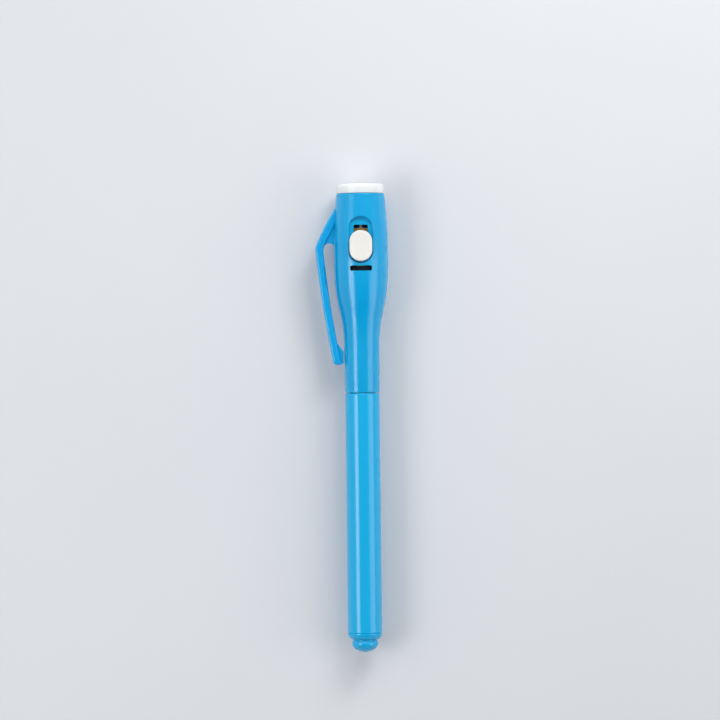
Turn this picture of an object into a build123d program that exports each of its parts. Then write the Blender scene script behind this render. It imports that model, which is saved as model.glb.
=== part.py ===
"""UV invisible ink pen: a fibre-tip pen whose cap holds a small ultraviolet lamp.

The pen lies along Y, with the lamp at the +Y end and the button facing +Z.
The clip stands out at -X. The origin is on the axis, halfway along the barrel.
All sizes are in millimetres.
"""

import os
from math import sqrt

from build123d import *

os.makedirs("parts", exist_ok=True)

# Clearances
press_gap = 0.02       # pieces pressed or bonded together
slide_gap = 0.10       # pieces that slide on each other
seam_gap = 0.15        # the line between the cap's mouth and the barrel
fit_gap = 0.20         # loose pieces in their pockets

# Barrel
barrel_diameter = 10.0
barrel_length = 69.8
barrel_wall = 1.0
barrel_edge = 0.4      # rounded front edge, which shows at the cap's mouth
tail_edge = 0.2        # rounded back edge, which shows the joint with the plug
rib_count = 4
rib_height = 0.45
rib_width = 0.8

# Tail plug
plug_insert = 6.0
plug_wall = 1.1
plug_shoulder = 2.0
plug_break = 0.2       # slanted start of the shoulder, the other side of the joint
plug_neck_diameter = 7.0
plug_neck_length = 0.2
plug_bead_diameter = 7.6
plug_bead_rise = 1.0   # from the neck to the widest part of the bead
plug_dome = 2.4

# Grip section and writing parts
grip_insert = 9.0
grip_step = 0.25       # the collar is this much smaller than the barrel's bore
collar_length = 5.0
bead_height = 0.10
bead_length = 1.4
bead_place = 2.6       # middle of the snap bead, from the barrel's end
grip_length = 22.0     # from the barrel's end to the nose
cone_step = 0.10
nose_wall = 0.65
nib_diameter = 1.8
nib_reach = 4.0        # past the nose
nib_point = 2.2        # length of the tapered point
nib_flat = 0.5         # diameter of the worn tip
nib_tail = 4.0         # pushed into the reservoir
wrap_wall = 0.2
rib_clearance = 0.05   # between the reservoir's wrap and the ribs

# Seal cup in the cap
seal_floor = 1.0
nib_air = 2.7          # room past the nib
seal_reach = 16.7      # depth of the cup from its floor's outside to its lip
seal_gap = 0.15        # between the lip and the grip's cone

# Cap shell
partition = 1.5
head_wall = 1.87
rim_inset = 0.90       # the rim is this much smaller in radius than the head
rim_edge = 0.5
ogee_setback = 0.6     # end of the head's crown, behind the button's recess
ogee_length = 23.4     # from the crown back to the tube
land_length = 2.5      # straight band behind the crown, in line with the tail, which the pen lies on
waist_swell = 0.13     # the tube's radius at the flare over that at the mouth
mouth_edge = 0.2

# Clip, moulded with the cap
clip_stand = 5.46      # the elbow's corner, past the head's full radius
clip_thickness = 2.3
clip_width = 4.0
clip_edge = 0.7
clip_taper = 5.1       # how far the arm leans in between elbow and toe
clip_bow = 0.45        # how far the arm bows out on the way
clip_root = 2.9        # where the shoulder starts in the head, from the rim
clip_elbow = 15.85     # the elbow's corner, from the rim
shoulder_bow = 0.4     # how far the shoulder bows out on its way to the elbow
elbow_radius = 4.0
clip_overrun = 5.4     # the toe's end, past the flare's small end
toe_radius = 1.0
toe_gap = 0.2          # between the toe's pad and the tube
pad_setback = 0.4      # the pad's end, ahead of the toe's end
pad_length = 3.4
pad_ramp = 4.0
web_width = 2.6        # the pad's width too
arch_drop = 14.5       # top of the gap behind the clip, from the rim
arch_rise = 1.2

# Button and its recess
button_length = 9.0
button_width = 6.6
button_proud = 0.9     # crown over the head's surface
button_edge = 0.45
button_travel = 0.6
button_lag = 1.2       # button's front, behind the front of the cells
recess_gap = 0.15      # between the button and the recess, each side
recess_lead = 4.05     # recess ahead of the button
recess_tail = 0.6      # recess behind the button
recess_edge = 0.2
window_width = 4.1
window_lead = 1.6      # window ahead of the button
stem_length = 7.0
stem_setback = 1.1     # stem's front, behind the button's front
barb_reach = 0.55      # past the window's side
barb_height = 0.7
roof_wall = 1.1        # wall between the recess's floor and the lamp bay

# Release slot
slot_width = 6.3
slot_length = 1.5
slot_setback = 1.4     # middle of the slot, behind the cells
cut_corner = 0.4       # rounded corners of the window and the slot

# Lamp unit
bay_diameter = 12.0
bay_spare = 3.5        # free depth behind the cradle
lens_length = 2.7
lens_edge = 0.8
lens_inset = 0.05      # lens radius under the rim's radius
lens_spigot = 3.5
spigot_wall = 1.2
cradle_floor = 0.75
cradle_side = 2.1      # side walls over the cells' centre line
rear_wall = 1.0
catch_width = 1.2
catch_reach = 1.1      # nose ahead of the rear wall
keeper = 0.35          # thickness of the bar over the leaf's root

# Ultraviolet lamp, a 5 mm LED
led_diameter = 5.0
led_length = 8.7
led_flange = 5.8       # diameter
led_flange_length = 1.0
led_recess = 0.7       # tip behind the lens's face
led_backing = 0.5      # bulkhead behind the flange
led_gap = 0.10
lead_pitch = 2.54
lead_size = 0.5
lead_post = 4.0        # length of the posts inside the body
anvil_length = 1.1
anvil_width = 1.2
lead_run = 1.5         # straight stretch behind the body before a bend
lead_overlap = 3.8     # top lead's length over the cells
lead_foot = 1.9        # bottom lead's foot on the front cell
anvil_gap = 0.5        # between the anvil and the other post
chip_size = 0.4
chip_height = 0.25

# Button cells
cell_diameter = 7.9
cell_height = 3.6
cell_count = 3
cell_cap_diameter = 6.2
cell_cap_rise = 0.35
cell_edge = 0.25
lead_room = 2.5        # between the bulkhead and the cells
spring_room = 2.0      # between the cells and the rear wall

# Switch contacts
lead_lift = 0.25       # top lead over the cells
contact_gap = 0.5      # open switch
stem_gap = 0.1         # button's stem over the switch leaf
strip_thickness = 0.25
leaf_width = 2.5
leaf_reach = 0.5       # tip behind the front of the cells
leaf_level = 7.0       # length of the level stretch
leaf_tip = 1.2         # length of the wide tip, which shows in the window
contact_width = 4.0
contact_drop = 3.0     # plate below the cells' centre line
bow_height = 4.4

# Radii that follow
barrel_radius = barrel_diameter / 2
bore_radius = barrel_radius - barrel_wall
insert_radius = bore_radius - press_gap
wrap_radius = bore_radius - rib_height - rib_clearance
core_radius = wrap_radius - wrap_wall - press_gap
nib_radius = nib_diameter / 2
nose_radius = nib_radius + nose_wall
collar_radius = bore_radius - grip_step
bead_radius = collar_radius + bead_height
cone_radius = collar_radius - cone_step
chamber_radius = bead_radius + slide_gap
bay_radius = bay_diameter / 2
head_radius = bay_radius + head_wall
rim_radius = head_radius - rim_inset
waist_radius = barrel_radius + waist_swell
lens_radius = rim_radius - lens_inset
cradle_radius = bay_radius - slide_gap
spigot_bore = cradle_radius - spigot_wall
led_radius = led_diameter / 2
flange_radius = led_flange / 2
cell_radius = cell_diameter / 2
pocket_radius = cell_radius + fit_gap / 2

# Places along the axis
seam_y = barrel_length / 2
tail_y = -barrel_length / 2
mouth_y = seam_y + seam_gap
grip_back_y = seam_y - grip_insert
plug_front_y = tail_y + plug_insert
nose_y = seam_y + grip_length
cone_y = seam_y + collar_length
nib_tip_y = nose_y + nib_reach
nib_tail_y = grip_back_y - nib_tail
partition_y = nib_tip_y + nib_air + seal_floor
bay_floor_y = partition_y + partition
cradle_end_y = bay_floor_y + bay_spare
wall_y = cradle_end_y + rear_wall
cells_back_y = wall_y + spring_room
cells_front_y = cells_back_y + cell_count * cell_height
bulkhead_y = cells_front_y + lead_room
led_base_y = bulkhead_y + led_backing
led_tip_y = led_base_y + led_length
lens_face_y = led_tip_y + led_recess
rim_y = lens_face_y - lens_length
socket_y = rim_y - lens_spigot
button_front_y = cells_front_y - button_lag
button_y = button_front_y - button_length / 2
recess_front_y = button_front_y + recess_lead
recess_back_y = button_front_y - button_length - recess_tail
ogee_y = recess_back_y - ogee_setback
waist_y = ogee_y - ogee_length
land_y = ogee_y - land_length
stem_y = button_front_y - stem_setback - stem_length / 2
window_front_y = button_front_y + window_lead
window_back_y = stem_y - stem_length / 2 - fit_gap
slot_y = cells_back_y - slot_setback

# Heights over the axis, from the cells up to the button
cells_z = cradle_floor + pocket_radius - cradle_radius
lead_z = cells_z + cell_radius + lead_lift
tab_z = lead_z
leaf_z = lead_z + lead_size + contact_gap
stem_z = leaf_z + strip_thickness + stem_gap
barb_top_z = stem_z + barb_height
roof_z = barb_top_z + slide_gap
recess_z = roof_z + roof_wall
button_z = recess_z + button_travel + slide_gap
crown_radius = head_radius + button_proud
barb_width = window_width + 2 * barb_reach


def across(y):
    """Plane square to the axis: sketch x is X, sketch y is Z, and it faces the tail."""
    return Plane(origin=(0, y, 0), x_dir=(1, 0, 0), z_dir=(0, -1, 0))


def flat_topped(radius, top):
    """Draw a circle on the axis, cut off level at a height."""
    Circle(radius)
    with Locations((0, top + radius)):
        Rectangle(4 * radius, 2 * radius, mode=Mode.SUBTRACT)


def trough(radius, height):
    """Draw a pocket with a round bottom on the cells' line, open at the top."""
    with Locations((0, cells_z)):
        Circle(radius)
    with Locations((0, cells_z + height / 2)):
        Rectangle(2 * radius, height)


def end_rim(piece, end):
    """Pick the widest round edge at a piece's tail end (0) or lamp end (-1)."""
    return piece.edges().filter_by(GeomType.CIRCLE).group_by(Axis.Y)[end].sort_by(SortBy.RADIUS)[-1]


def fall(arc_radius, run):
    """How far an arc drops from its tangent after a run along it."""
    return arc_radius - sqrt(arc_radius**2 - run**2)


# Barrel: an open tube with ribs that hold the reservoir and stop the two inserts
with BuildPart() as barrel_tube:
    with BuildSketch(across(seam_y)):
        Circle(barrel_radius)
        Circle(bore_radius, mode=Mode.SUBTRACT)
    extrude(amount=barrel_length)
    fillet(end_rim(barrel_tube, -1), radius=barrel_edge)
    fillet(end_rim(barrel_tube, 0), radius=tail_edge)
    with BuildSketch(across(grip_back_y)):
        with PolarLocations(bore_radius - rib_height / 2, rib_count):
            Rectangle(rib_height + barrel_wall / 2, rib_width)
        Circle(bore_radius - rib_height, mode=Mode.SUBTRACT)
    extrude(amount=grip_back_y - plug_front_y)
barrel_tube.part.label = "barrel_tube"
export_step(barrel_tube.part, "parts/barrel_tube.step")

# Tail plug: a hollow insert, a rounded shoulder and a beaded post with a domed end
with BuildPart() as rear_plug:
    neck_top_y = tail_y - plug_shoulder
    neck_end_y = neck_top_y - plug_neck_length
    bead_y = neck_end_y - plug_bead_rise
    plug_neck = plug_neck_diameter / 2
    plug_bead = plug_bead_diameter / 2
    with BuildSketch(Plane.XY):
        with BuildLine():
            Polyline(
                (0, tail_y),
                (insert_radius - plug_wall, tail_y),
                (insert_radius - plug_wall, plug_front_y),
                (insert_radius, plug_front_y),
                (insert_radius, tail_y),
                (barrel_radius - plug_break, tail_y),
                (barrel_radius, tail_y - plug_break),
            )
            TangentArc((barrel_radius, tail_y - plug_break), (plug_neck, neck_top_y), tangent=(0, -1))
            Line((plug_neck, neck_top_y), (plug_neck, neck_end_y))
            TangentArc((plug_bead, bead_y), (plug_neck, neck_end_y), tangent=(0, 1))
            EllipticalCenterArc((0, bead_y), plug_bead, plug_dome, start_angle=270, arc_size=90)
            Line((0, bead_y - plug_dome), (0, tail_y))
        make_face()
    revolve(axis=Axis.Y)
rear_plug.part.label = "rear_plug"
export_step(rear_plug.part, "parts/rear_plug.step")

# Grip: an insert, a collar with a snap bead for the cap, and a long curved cone
with BuildPart() as grip_section:
    bead_low_y = seam_y + bead_place - bead_length / 2
    bead_high_y = seam_y + bead_place + bead_length / 2
    nib_bore = nib_radius + press_gap
    with BuildSketch(Plane.XY):
        with BuildLine():
            Polyline(
                (nib_bore, nose_y),
                (nib_bore, grip_back_y),
                (insert_radius, grip_back_y),
                (insert_radius, seam_y),
                (collar_radius, seam_y),
                (collar_radius, bead_low_y),
            )
            ThreePointArc(
                (collar_radius, bead_low_y),
                (bead_radius, seam_y + bead_place),
                (collar_radius, bead_high_y),
            )
            Polyline((collar_radius, bead_high_y), (collar_radius, cone_y), (cone_radius, cone_y))
            TangentArc((cone_radius, cone_y), (nose_radius, nose_y), tangent=(0, 1))
            Line((nose_radius, nose_y), (nib_bore, nose_y))
        make_face()
    revolve(axis=Axis.Y)
    fillet(end_rim(grip_section, -1), radius=nose_wall / 2)
grip_section.part.label = "grip_section"
export_step(grip_section.part, "parts/grip_section.step")

# Nib: a fibre rod with a rounded point, its tail in the reservoir
with BuildPart() as nib:
    with BuildSketch(Plane.XY):
        with BuildLine():
            Polyline((nib_flat / 2, nib_tip_y), (0, nib_tip_y), (0, nib_tail_y), (nib_radius, nib_tail_y))
            Line((nib_radius, nib_tail_y), (nib_radius, nib_tip_y - nib_point))
            TangentArc((nib_radius, nib_tip_y - nib_point), (nib_flat / 2, nib_tip_y), tangent=(0, 1))
        make_face()
    revolve(axis=Axis.Y)
nib.part.label = "nib"
export_step(nib.part, "parts/nib.step")

# Ink reservoir: a fibre core between the two inserts
with BuildPart() as ink_reservoir:
    with BuildSketch(across(grip_back_y)):
        Circle(core_radius)
    extrude(amount=grip_back_y - plug_front_y)
    with BuildSketch(across(grip_back_y)):
        Circle(nib_radius + press_gap)
    extrude(amount=nib_tail, mode=Mode.SUBTRACT)
ink_reservoir.part.label = "ink_reservoir"
export_step(ink_reservoir.part, "parts/ink_reservoir.step")

# Film wrapped round the fibre core
with BuildPart() as reservoir_wrap:
    with BuildSketch(across(grip_back_y)):
        Circle(wrap_radius)
        Circle(wrap_radius - wrap_wall, mode=Mode.SUBTRACT)
    extrude(amount=grip_back_y - plug_front_y)
reservoir_wrap.part.label = "reservoir_wrap"
export_step(reservoir_wrap.part, "parts/reservoir_wrap.step")

# Clip, before it joins the cap: a bent, bowed arm, with a narrower pad at its toe and web at its root
clip_reach = head_radius + clip_stand
toe_reach = clip_reach - clip_taper
inner_x = clip_thickness - clip_reach
inner_toe_x = clip_thickness - toe_reach
elbow_y = rim_y - clip_elbow
root_x = rim_edge - rim_radius
root_y = rim_y - clip_root
root_back_y = root_y - 2 * clip_thickness
toe_end_y = waist_y - clip_overrun
bow_x = -(clip_reach + toe_reach) / 2 - clip_bow
arm_mid_y = (elbow_y + toe_end_y) / 2
pad_x = -(waist_radius + toe_gap)
pad_y = toe_end_y + pad_setback
ramp_y = pad_y + pad_length
ramp_end_y = ramp_y + pad_ramp
toe_mid_x = (inner_toe_x - toe_reach) / 2
ramp_end_x = toe_mid_x - clip_taper * (ramp_end_y - toe_end_y) / (elbow_y - toe_end_y)
arch_y = rim_y - arch_drop
arch_side_x = rim_edge - head_radius
arch_low_y = arch_y - arch_rise

with BuildPart() as clip:
    with BuildSketch(Plane.XY) as arm:
        with BuildLine():
            SagittaArc((-clip_reach, elbow_y), (root_x, root_y), shoulder_bow)
            ThreePointArc((-clip_reach, elbow_y), (bow_x, arm_mid_y), (-toe_reach, toe_end_y))
            Line((-toe_reach, toe_end_y), (inner_toe_x, toe_end_y))
            ThreePointArc(
                (inner_toe_x, toe_end_y),
                (bow_x + clip_thickness, arm_mid_y),
                (inner_x, elbow_y),
            )
            Polyline((inner_x, elbow_y), (root_x, root_back_y), (root_x, root_y))
        make_face()
        fillet(arm.vertices().filter_by_position(Axis.Y, elbow_y, elbow_y), radius=elbow_radius)
        fillet(arm.vertices().filter_by_position(Axis.Y, toe_end_y, toe_end_y), radius=toe_radius)
    extrude(amount=clip_width / 2, both=True)
    fillet(clip.faces().sort_by(Axis.Z)[-1].edges(), radius=clip_edge)
    fillet(clip.faces().sort_by(Axis.Z)[0].edges(), radius=clip_edge)
    with BuildSketch(Plane.XY):
        with BuildLine():
            Polyline((root_x, arch_low_y), (root_x, root_y), (inner_x, arch_low_y))
            ThreePointArc(
                (inner_x, arch_low_y),
                ((inner_x + arch_side_x) / 2, arch_y),
                (arch_side_x, arch_low_y),
            )
            Line((arch_side_x, arch_low_y), (root_x, arch_low_y))
        make_face()
        with BuildLine():
            Polyline(
                (toe_mid_x, pad_y),
                (pad_x, pad_y),
                (pad_x, ramp_y),
                (ramp_end_x, ramp_end_y),
                close=True,
            )
        make_face()
    extrude(amount=web_width / 2, both=True)

# Cap shell: a turned outline with the clip, the nib chamber, the lamp bay and the button's cuts
with BuildPart() as cap_shell:
    with BuildSketch(Plane.XY):
        land_slope = (head_radius - barrel_radius) / (ogee_y - tail_y + plug_break)
        land_radius = head_radius - land_slope * land_length
        mid_radius = (waist_radius + land_radius) / 2 - land_slope * (land_y - waist_y) / 8
        mid_y = (waist_y + land_y) / 2
        with BuildLine():
            TangentArc((waist_radius, waist_y), (barrel_radius, mouth_y), tangent=(0, -1))
            TangentArc((waist_radius, waist_y), (mid_radius, mid_y), tangent=(0, 1))
            TangentArc((land_radius, land_y), (mid_radius, mid_y), tangent=(-land_slope, -1))
            Line((land_radius, land_y), (head_radius, ogee_y))
            TangentArc((head_radius, ogee_y), (rim_radius, rim_y), tangent=(land_slope, 1))
            Polyline((rim_radius, rim_y), (0, rim_y), (0, mouth_y), (barrel_radius, mouth_y))
        make_face()
    revolve(axis=Axis.Y)
    fillet(end_rim(cap_shell, -1), radius=rim_edge)
    fillet(end_rim(cap_shell, 0), radius=mouth_edge)
    with BuildSketch(Plane.XY.offset(recess_z)):
        with Locations((0, (recess_front_y + recess_back_y) / 2)):
            SlotOverall(recess_front_y - recess_back_y, button_width + 2 * recess_gap, rotation=90)
    extrude(amount=head_radius, mode=Mode.SUBTRACT)
    recess_rim = cap_shell.edges(Select.LAST).filter_by(lambda edge: edge.center().Z > button_z)
    fillet(recess_rim.filter_by(Axis.Z, reverse=True), radius=recess_edge)
    add(clip.part)
    with BuildSketch(across(partition_y)):
        Circle(chamber_radius)
    extrude(amount=partition_y - seam_y, mode=Mode.SUBTRACT)
    with BuildSketch(across(rim_y)):
        flat_topped(bay_radius, roof_z)
        with Locations((0, roof_z / 2)):
            Rectangle(barb_width + 2 * slide_gap, roof_z)
    extrude(amount=rim_y - bay_floor_y, mode=Mode.SUBTRACT)
    with BuildSketch(Plane.XY.offset(lead_z)):
        with Locations((0, (window_front_y + window_back_y) / 2)):
            RectangleRounded(window_width, window_front_y - window_back_y, cut_corner)
        with Locations((0, slot_y)):
            RectangleRounded(slot_width, slot_length, cut_corner)
    extrude(amount=head_radius, mode=Mode.SUBTRACT)
cap_shell.part.label = "cap_shell"
export_step(cap_shell.part, "parts/cap_shell.step")

# Seal cup: pressed into the nib chamber, its lip close round the grip's cone
with BuildPart() as nib_seal:
    cone_run = nose_y - cone_y
    cone_drop = cone_radius - nose_radius
    cone_arc = (cone_run**2 + cone_drop**2) / (2 * cone_drop)
    lip_y = partition_y - seal_reach
    lip_mid_y = (lip_y + nose_y) / 2
    with BuildSketch(Plane.XY):
        with BuildLine():
            Polyline(
                (nose_radius + seal_gap, nose_y),
                (nose_radius + seal_gap, partition_y - seal_floor),
                (0, partition_y - seal_floor),
                (0, partition_y),
                (chamber_radius - press_gap, partition_y),
                (chamber_radius - press_gap, lip_y),
                (cone_radius - fall(cone_arc, lip_y - cone_y) + seal_gap, lip_y),
            )
            ThreePointArc(
                (cone_radius - fall(cone_arc, lip_y - cone_y) + seal_gap, lip_y),
                (cone_radius - fall(cone_arc, lip_mid_y - cone_y) + seal_gap, lip_mid_y),
                (nose_radius + seal_gap, nose_y),
            )
        make_face()
    revolve(axis=Axis.Y)
nib_seal.part.label = "nib_seal"
export_step(nib_seal.part, "parts/nib_seal.step")

# Button: a crowned stadium, a stem through the window and barbs that keep it in
with BuildPart() as push_button:
    with BuildSketch(Plane.XY.offset(button_z)):
        with Locations((0, button_y)):
            SlotOverall(button_length, button_width, rotation=90)
    extrude(amount=crown_radius - button_z)
    with BuildSketch(across(button_front_y)):
        Circle(crown_radius)
    extrude(amount=button_length, mode=Mode.INTERSECT)
    fillet(push_button.faces().sort_by(Axis.Z)[-1].edges(), radius=button_edge)
    with BuildSketch(Plane.XY.offset(stem_z)):
        with Locations((0, stem_y)):
            RectangleRounded(window_width - 2 * slide_gap, stem_length, cut_corner)
    extrude(amount=button_z - stem_z)
    with BuildSketch(Plane.XY.offset(stem_z)):
        with Locations((0, stem_y)):
            Rectangle(barb_width, stem_length / 2)
    extrude(amount=barb_height)
push_button.part.label = "push_button"
export_step(push_button.part, "parts/push_button.step")

# Lens: a milky end disc with a hole for the lamp and a spigot that plugs into the bay
with BuildPart() as lens:
    with BuildSketch(across(lens_face_y)):
        Circle(lens_radius)
    extrude(amount=lens_length)
    fillet(lens.edges().group_by(Axis.Y)[-1], radius=lens_edge)
    with BuildSketch(across(rim_y)):
        flat_topped(cradle_radius, roof_z - slide_gap)
        Circle(spigot_bore, mode=Mode.SUBTRACT)
    extrude(amount=lens_spigot)
    with BuildSketch(across(lens_face_y)):
        Circle(led_radius + led_gap)
    extrude(amount=lens_length, mode=Mode.SUBTRACT)
lens.part.label = "lens"
export_step(lens.part, "parts/lens.step")

# Battery cradle: lamp bulkhead in front, an open trough for the cells, a wall and a keeper behind
with BuildPart() as battery_cradle:
    with BuildSketch(across(rim_y)):
        Circle(spigot_bore - press_gap)
    extrude(amount=lens_spigot)
    with BuildSketch(across(socket_y)):
        flat_topped(cradle_radius, roof_z - slide_gap)
    extrude(amount=socket_y - bulkhead_y)
    with BuildSketch(across(bulkhead_y)):
        flat_topped(cradle_radius, cells_z + cradle_side)
    extrude(amount=bulkhead_y - wall_y)
    with BuildSketch(across(wall_y)):
        flat_topped(cradle_radius, tab_z)
    extrude(amount=rear_wall)
    with BuildSketch(across(cells_front_y)):
        trough(pocket_radius, cradle_radius)
    extrude(amount=cells_front_y - wall_y, mode=Mode.SUBTRACT)
    catch_front_y = wall_y + catch_reach
    catch_x = leaf_width / 2 + fit_gap + catch_width / 2
    catch_y = (catch_front_y + cradle_end_y) / 2
    with BuildSketch(Plane.XY.offset(tab_z)):
        with Locations((-catch_x, catch_y), (catch_x, catch_y)):
            Rectangle(catch_width, catch_front_y - cradle_end_y)
    extrude(amount=stem_z - fit_gap - tab_z)
    with BuildSketch(Plane.XY.offset(stem_z - fit_gap - keeper)):
        with Locations((0, catch_y)):
            Rectangle(2 * catch_x, catch_front_y - cradle_end_y)
    extrude(amount=keeper)
    with BuildSketch(across(bulkhead_y)):
        Circle(flange_radius + led_gap)
        with Locations((0, cradle_radius / 2)):
            Rectangle(led_flange + 2 * led_gap, cradle_radius)
    extrude(amount=lead_room, mode=Mode.SUBTRACT)
    with BuildSketch(across(rim_y)):
        Circle(led_radius + led_gap)
    extrude(amount=rim_y - bulkhead_y, mode=Mode.SUBTRACT)
    with BuildSketch(across(led_base_y + led_flange_length)):
        Circle(flange_radius + led_gap)
    extrude(amount=led_flange_length + led_backing, mode=Mode.SUBTRACT)
battery_cradle.part.label = "battery_cradle"
export_step(battery_cradle.part, "parts/battery_cradle.step")


def bent_wire(points):
    """Draw the square runs of a lead that bends at right angles."""
    for start, end in zip(points, points[1:]):
        with Locations(((start[0] + end[0]) / 2, (start[1] + end[1]) / 2)):
            Rectangle(abs(end[0] - start[0]) + lead_size, abs(end[1] - start[1]) + lead_size)


# Lamp leads: the top one is the fixed half of the switch, the bottom one meets the front cell
post_end_y = led_base_y + lead_post - lead_size / 2
with BuildPart() as led_anode_lead:
    rise_y = led_base_y - lead_run
    with BuildSketch(Plane.YZ):
        bent_wire([
            (post_end_y, lead_pitch / 2),
            (rise_y, lead_pitch / 2),
            (rise_y, lead_z + lead_size / 2),
            (cells_front_y - lead_overlap, lead_z + lead_size / 2),
        ])
    extrude(amount=lead_size / 2, both=True)
led_anode_lead.part.label = "led_anode_lead"
export_step(led_anode_lead.part, "parts/led_anode_lead.step")

with BuildPart() as led_cathode_lead:
    foot_y = cells_front_y + lead_size / 2
    with BuildSketch(Plane.YZ):
        bent_wire([
            (post_end_y, -lead_pitch / 2),
            (foot_y, -lead_pitch / 2),
            (foot_y, lead_foot - lead_pitch / 2),
        ])
    extrude(amount=lead_size / 2, both=True)
    anvil_low_z = -(lead_pitch + lead_size) / 2
    anvil_high_z = (lead_pitch - lead_size) / 2 - anvil_gap
    with BuildSketch(across(led_base_y + lead_post)):
        with Locations((0, (anvil_low_z + anvil_high_z) / 2)):
            Rectangle(anvil_width, anvil_high_z - anvil_low_z)
    extrude(amount=anvil_length)
led_cathode_lead.part.label = "led_cathode_lead"
export_step(led_cathode_lead.part, "parts/led_cathode_lead.step")

with BuildPart() as led_chip:
    with BuildSketch(across(led_base_y + lead_post + chip_height)):
        Rectangle(chip_size, chip_size)
    extrude(amount=chip_height)
led_chip.part.label = "led_chip"
export_step(led_chip.part, "parts/led_chip.step")

# Lamp body: clear resin cast round the leads, with a domed tip and a seating flange
with BuildPart() as uv_led:
    with BuildSketch(Plane.XY):
        with BuildLine():
            Polyline(
                (0, led_tip_y),
                (0, led_base_y),
                (flange_radius, led_base_y),
                (flange_radius, led_base_y + led_flange_length),
                (led_radius, led_base_y + led_flange_length),
                (led_radius, led_tip_y - led_radius),
            )
            TangentArc((led_radius, led_tip_y - led_radius), (0, led_tip_y), tangent=(0, 1))
        make_face()
    revolve(axis=Axis.Y)
    add(led_anode_lead.part, mode=Mode.SUBTRACT)
    add(led_cathode_lead.part, mode=Mode.SUBTRACT)
    add(led_chip.part, mode=Mode.SUBTRACT)
uv_led.part.label = "uv_led"
export_step(uv_led.part, "parts/uv_led.step")

# Button cells: three in a row, their smaller caps facing the lamp
cell_axis = Axis((0, 0, cells_z), (0, 1, 0))
for index, cell_name in enumerate(["cell_front", "cell_middle", "cell_rear"]):
    with BuildPart() as cell:
        top_y = cells_front_y - index * cell_height
        can_y = top_y - cell_cap_rise
        with BuildSketch(Plane.XY.offset(cells_z)):
            with BuildLine():
                Polyline(
                    (0, top_y),
                    (cell_cap_diameter / 2, top_y),
                    (cell_cap_diameter / 2, can_y),
                    (cell_radius, can_y),
                    (cell_radius, top_y - cell_height),
                    (0, top_y - cell_height),
                    close=True,
                )
            make_face()
        revolve(axis=cell_axis)
        round_edges = cell.edges().filter_by(GeomType.CIRCLE)
        fillet(round_edges.filter_by(lambda edge: edge.radius > cell_cap_diameter / 2), radius=cell_edge)
    cell.part.label = cell_name
    export_step(cell.part, f"parts/{cell_name}.step")

# Rear contact: a plate on the rear wall, a tab folded over it and a bow that presses on the cells
plate_y = wall_y + strip_thickness
with BuildPart() as rear_contact:
    with BuildSketch(across(plate_y)):
        plate_low_z = cells_z - contact_drop
        with Locations((0, (plate_low_z + tab_z) / 2)):
            Rectangle(contact_width, tab_z - plate_low_z)
    extrude(amount=strip_thickness)
    with BuildSketch(Plane.XY.offset(tab_z)):
        with Locations((0, (plate_y + cradle_end_y) / 2)):
            Rectangle(leaf_width, plate_y - cradle_end_y)
    extrude(amount=strip_thickness)
    bow_y = cells_back_y - press_gap
    bow_low_z = cells_z - bow_height / 2
    bow_high_z = cells_z + bow_height / 2
    with BuildSketch(Plane.YZ):
        with BuildLine():
            ThreePointArc((plate_y, bow_low_z), (bow_y, cells_z), (plate_y, bow_high_z))
            Line((plate_y, bow_high_z), (wall_y, bow_high_z))
            ThreePointArc((wall_y, bow_high_z), (bow_y - strip_thickness, cells_z), (wall_y, bow_low_z))
            Line((wall_y, bow_low_z), (plate_y, bow_low_z))
        make_face()
    extrude(amount=leaf_width / 2, both=True)
rear_contact.part.label = "rear_contact"
export_step(rear_contact.part, "parts/rear_contact.step")

# Switch leaf: springs up from the contact's tab to lie under the button's stem, with a wide tip
with BuildPart() as switch_leaf:
    root_z = tab_z + strip_thickness
    tip_y = cells_front_y - leaf_reach
    level_y = tip_y - leaf_level
    with BuildSketch(Plane.YZ):
        with BuildLine():
            Polyline(
                (cradle_end_y, root_z),
                (plate_y, root_z),
                (level_y, leaf_z),
                (tip_y, leaf_z),
                (tip_y, leaf_z + strip_thickness),
                (level_y, leaf_z + strip_thickness),
                (plate_y, root_z + strip_thickness),
                (cradle_end_y, root_z + strip_thickness),
                close=True,
            )
        make_face()
    extrude(amount=leaf_width / 2, both=True)
    with BuildSketch(Plane.XY.offset(leaf_z)):
        with Locations((0, tip_y - leaf_tip / 2)):
            Rectangle(window_width - fit_gap, leaf_tip)
    extrude(amount=strip_thickness)
switch_leaf.part.label = "switch_leaf"
export_step(switch_leaf.part, "parts/switch_leaf.step")
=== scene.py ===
"""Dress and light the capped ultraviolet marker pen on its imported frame.

The pen lies along Y with its lamp end towards +Y, its white button on top (+Z) and its pocket
clip on the left (-X). Every CAD piece keeps its shape and place and gets a procedural material.
The few pieces too fine for the solids are modelled here and ride on the pen's bodies.
"""

from __future__ import annotations

import logging
import math
from dataclasses import dataclass, field
from enum import Enum

import bmesh
import bpy
from mathutils import Matrix, Vector


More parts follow.
